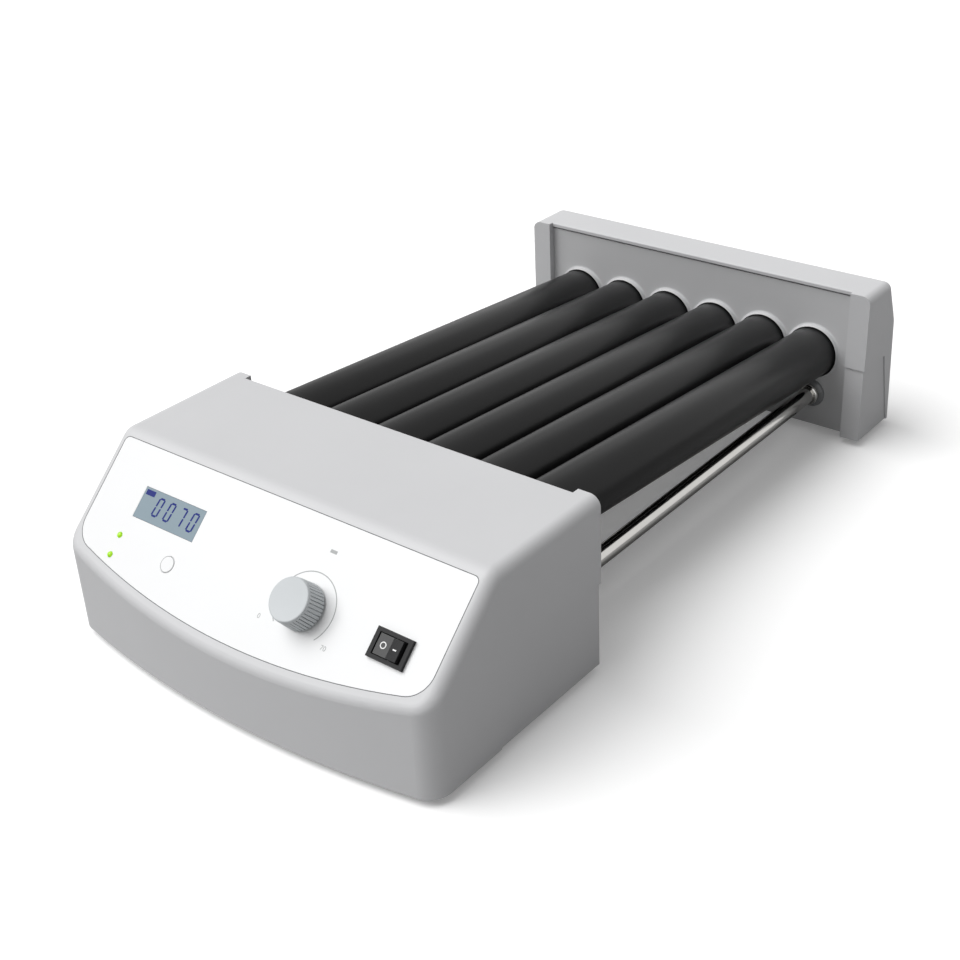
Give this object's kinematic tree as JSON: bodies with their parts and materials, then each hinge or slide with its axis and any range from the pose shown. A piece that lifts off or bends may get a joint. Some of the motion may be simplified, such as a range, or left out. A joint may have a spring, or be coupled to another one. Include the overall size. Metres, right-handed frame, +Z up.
{
  "type": "tube roller mixer",
  "caption": "Bench mixer whose side-by-side rollers turn and rock tubes laid on them, between a control head with a sloping panel and an end housing.",
  "frame": {"origin": "on the table, under the middle of the mixer's length and width", "axes": "+X across the rollers to the right as seen from the control panel, +Y along the rollers from the control head to the end housing, +Z up"},
  "size_m": [0.241, 0.451, 0.098],
  "materials": {
    "housing_plastic": "fine grained light grey moulding",
    "base_plastic": "fine grained light grey moulding",
    "plate": "smooth light grey coat",
    "rim": "smooth light grey",
    "roller_skin": "satin black",
    "steel": "turned steel",
    "rod_chrome": "polished chrome",
    "collar_grey": "grey moulding",
    "foot_rubber": "dull black rubber",
    "zinc": "zinc plated",
    "bar_aluminium": "milled",
    "pulley_plastic": "black moulding",
    "belt_rubber": "drive belt rubber",
    "motor_can": "grey coat",
    "panel_white": "printed white sheet",
    "display_clear": "grey blue display window",
    "module_black": "black frame",
    "light_green": "translucent light pipe",
    "board_green": "solder mask",
    "button_grey": "smooth moulding",
    "knob_grey": "satin light grey",
    "switch_black": "polished black",
    "inlet_black": "black moulding"
  },
  "bodies": {
    "housings": {"head_cover": "housing_plastic", "head_base": "base_plastic", "head_plate": "plate", "end_cover": "housing_plastic", "end_base": "base_plastic", "end_plate": "plate", "roller_rims": "rim", "ball_studs": "steel", "stud_nuts": "zinc", "stud_bracket": "zinc", "tie_rods": "rod_chrome", "rod_collars": "collar_grey", "rod_rings": "rod_chrome", "rod_nuts": "zinc", "feet": "foot_rubber", "case_screws": "zinc", "lift_bracket": "zinc", "lift_motor": "motor_can", "panel_sheet": "panel_white", "display_glass": "display_clear", "display_module": "module_black", "indicator_lights": "light_green", "control_board": "board_green", "board_screws": "zinc", "encoder": "module_black", "switch_bezel": "switch_black", "power_inlet": "inlet_black"},
    "rocking_bar": {"bearing_bar": "bar_aluminium", "drive_bearings": "steel", "roller_belts": "belt_rubber", "motor_belt": "belt_rubber", "motor_bracket": "zinc", "roll_motor": "motor_can"},
    "motor_pulley": {"motor_pulley": "pulley_plastic"},
    "lift_arm": {"lift_arm": "steel"},
    "mode_button": {"mode_button": "button_grey"},
    "knob_plunger": {"encoder_plunger": "steel"},
    "speed_knob": {"speed_knob": "knob_grey", "knob_shaft": "steel"},
    "switch_rocker": {"switch_rocker": "switch_black"},
    "roller_1": {"roller_1": "roller_skin", "roller_axle_1": "steel", "roller_pulley_1": "pulley_plastic"},
    "roller_2": {"roller_2": "roller_skin", "roller_axle_2": "steel", "roller_pulley_2": "pulley_plastic"},
    "roller_3": {"roller_3": "roller_skin", "roller_axle_3": "steel", "roller_pulley_3": "pulley_plastic"},
    "roller_4": {"roller_4": "roller_skin", "roller_axle_4": "steel", "roller_pulley_4": "pulley_plastic"},
    "roller_5": {"roller_5": "roller_skin", "roller_axle_5": "steel", "roller_pulley_5": "pulley_plastic"},
    "roller_6": {"roller_6": "roller_skin", "roller_axle_6": "steel", "roller_pulley_6": "pulley_plastic"}
  },
  "joints": [
    {"name": "bar_rock", "type": "hinge", "parent": "housings", "child": "rocking_bar", "pos_m": [0, 0.18825, 0.054], "axis": [1, 0, 0], "range_deg": [-0.5, 4.5]},
    {"name": "roller_1_turn", "type": "hinge", "parent": "rocking_bar", "child": "roller_1", "pos_m": [-0.0845, 0.18825, 0.054], "axis": [0, 0.9969, -0.0785], "continuous": true},
    {"name": "roller_2_turn", "type": "hinge", "parent": "rocking_bar", "child": "roller_2", "pos_m": [-0.0507, 0.18825, 0.054], "axis": [0, 0.9969, -0.0785], "continuous": true},
    {"name": "roller_3_turn", "type": "hinge", "parent": "rocking_bar", "child": "roller_3", "pos_m": [-0.0169, 0.18825, 0.054], "axis": [0, 0.9969, -0.0785], "continuous": true},
    {"name": "roller_4_turn", "type": "hinge", "parent": "rocking_bar", "child": "roller_4", "pos_m": [0.0169, 0.18825, 0.054], "axis": [0, 0.9969, -0.0785], "continuous": true},
    {"name": "roller_5_turn", "type": "hinge", "parent": "rocking_bar", "child": "roller_5", "pos_m": [0.0507, 0.18825, 0.054], "axis": [0, 0.9969, -0.0785], "continuous": true},
    {"name": "roller_6_turn", "type": "hinge", "parent": "rocking_bar", "child": "roller_6", "pos_m": [0.0845, 0.18825, 0.054], "axis": [0, 0.9969, -0.0785], "continuous": true},
    {"name": "motor_turn", "type": "hinge", "parent": "rocking_bar", "child": "motor_pulley", "pos_m": [-0.0845, -0.10552, 0.05254], "axis": [0, 0.9969, -0.0785], "continuous": true},
    {"name": "lift_swing", "type": "hinge", "parent": "housings", "child": "lift_arm", "pos_m": [0.04209, -0.1345, 0.03096], "axis": [0, 1, 0], "range_deg": [-31.5, 3.5]},
    {"name": "mode_push", "type": "slide", "parent": "housings", "child": "mode_button", "axis": [0, 0.6871, -0.7266], "range_m": [0, 0.0005], "stiffness_N_per_m": 400, "springref_m": -0.001},
    {"name": "knob_push", "type": "slide", "parent": "housings", "child": "knob_plunger", "axis": [0, 0.6871, -0.7266], "range_m": [0, 0.0006], "stiffness_N_per_m": 600, "springref_m": -0.003},
    {"name": "knob_turn", "type": "hinge", "parent": "knob_plunger", "child": "speed_knob", "pos_m": [0.0363, -0.19927, 0.06644], "axis": [0, -0.6871, 0.7266], "continuous": true},
    {"name": "power_rock", "type": "hinge", "parent": "housings", "child": "switch_rocker", "pos_m": [0.0888, -0.19848, 0.06444], "axis": [0, 0.7266, 0.6871], "range_deg": [0, 16]}
  ],
  "couplings": [
    {"joint": "roller_2_turn", "follows": "roller_1_turn", "ratio": 1},
    {"joint": "roller_3_turn", "follows": "roller_1_turn", "ratio": 1},
    {"joint": "roller_4_turn", "follows": "roller_1_turn", "ratio": 1},
    {"joint": "roller_5_turn", "follows": "roller_1_turn", "ratio": 1},
    {"joint": "roller_6_turn", "follows": "roller_1_turn", "ratio": 1},
    {"joint": "motor_turn", "follows": "roller_1_turn", "ratio": 1.4286},
    {"joint": "lift_swing", "follows": "bar_rock", "ratio": -7}
  ]
}
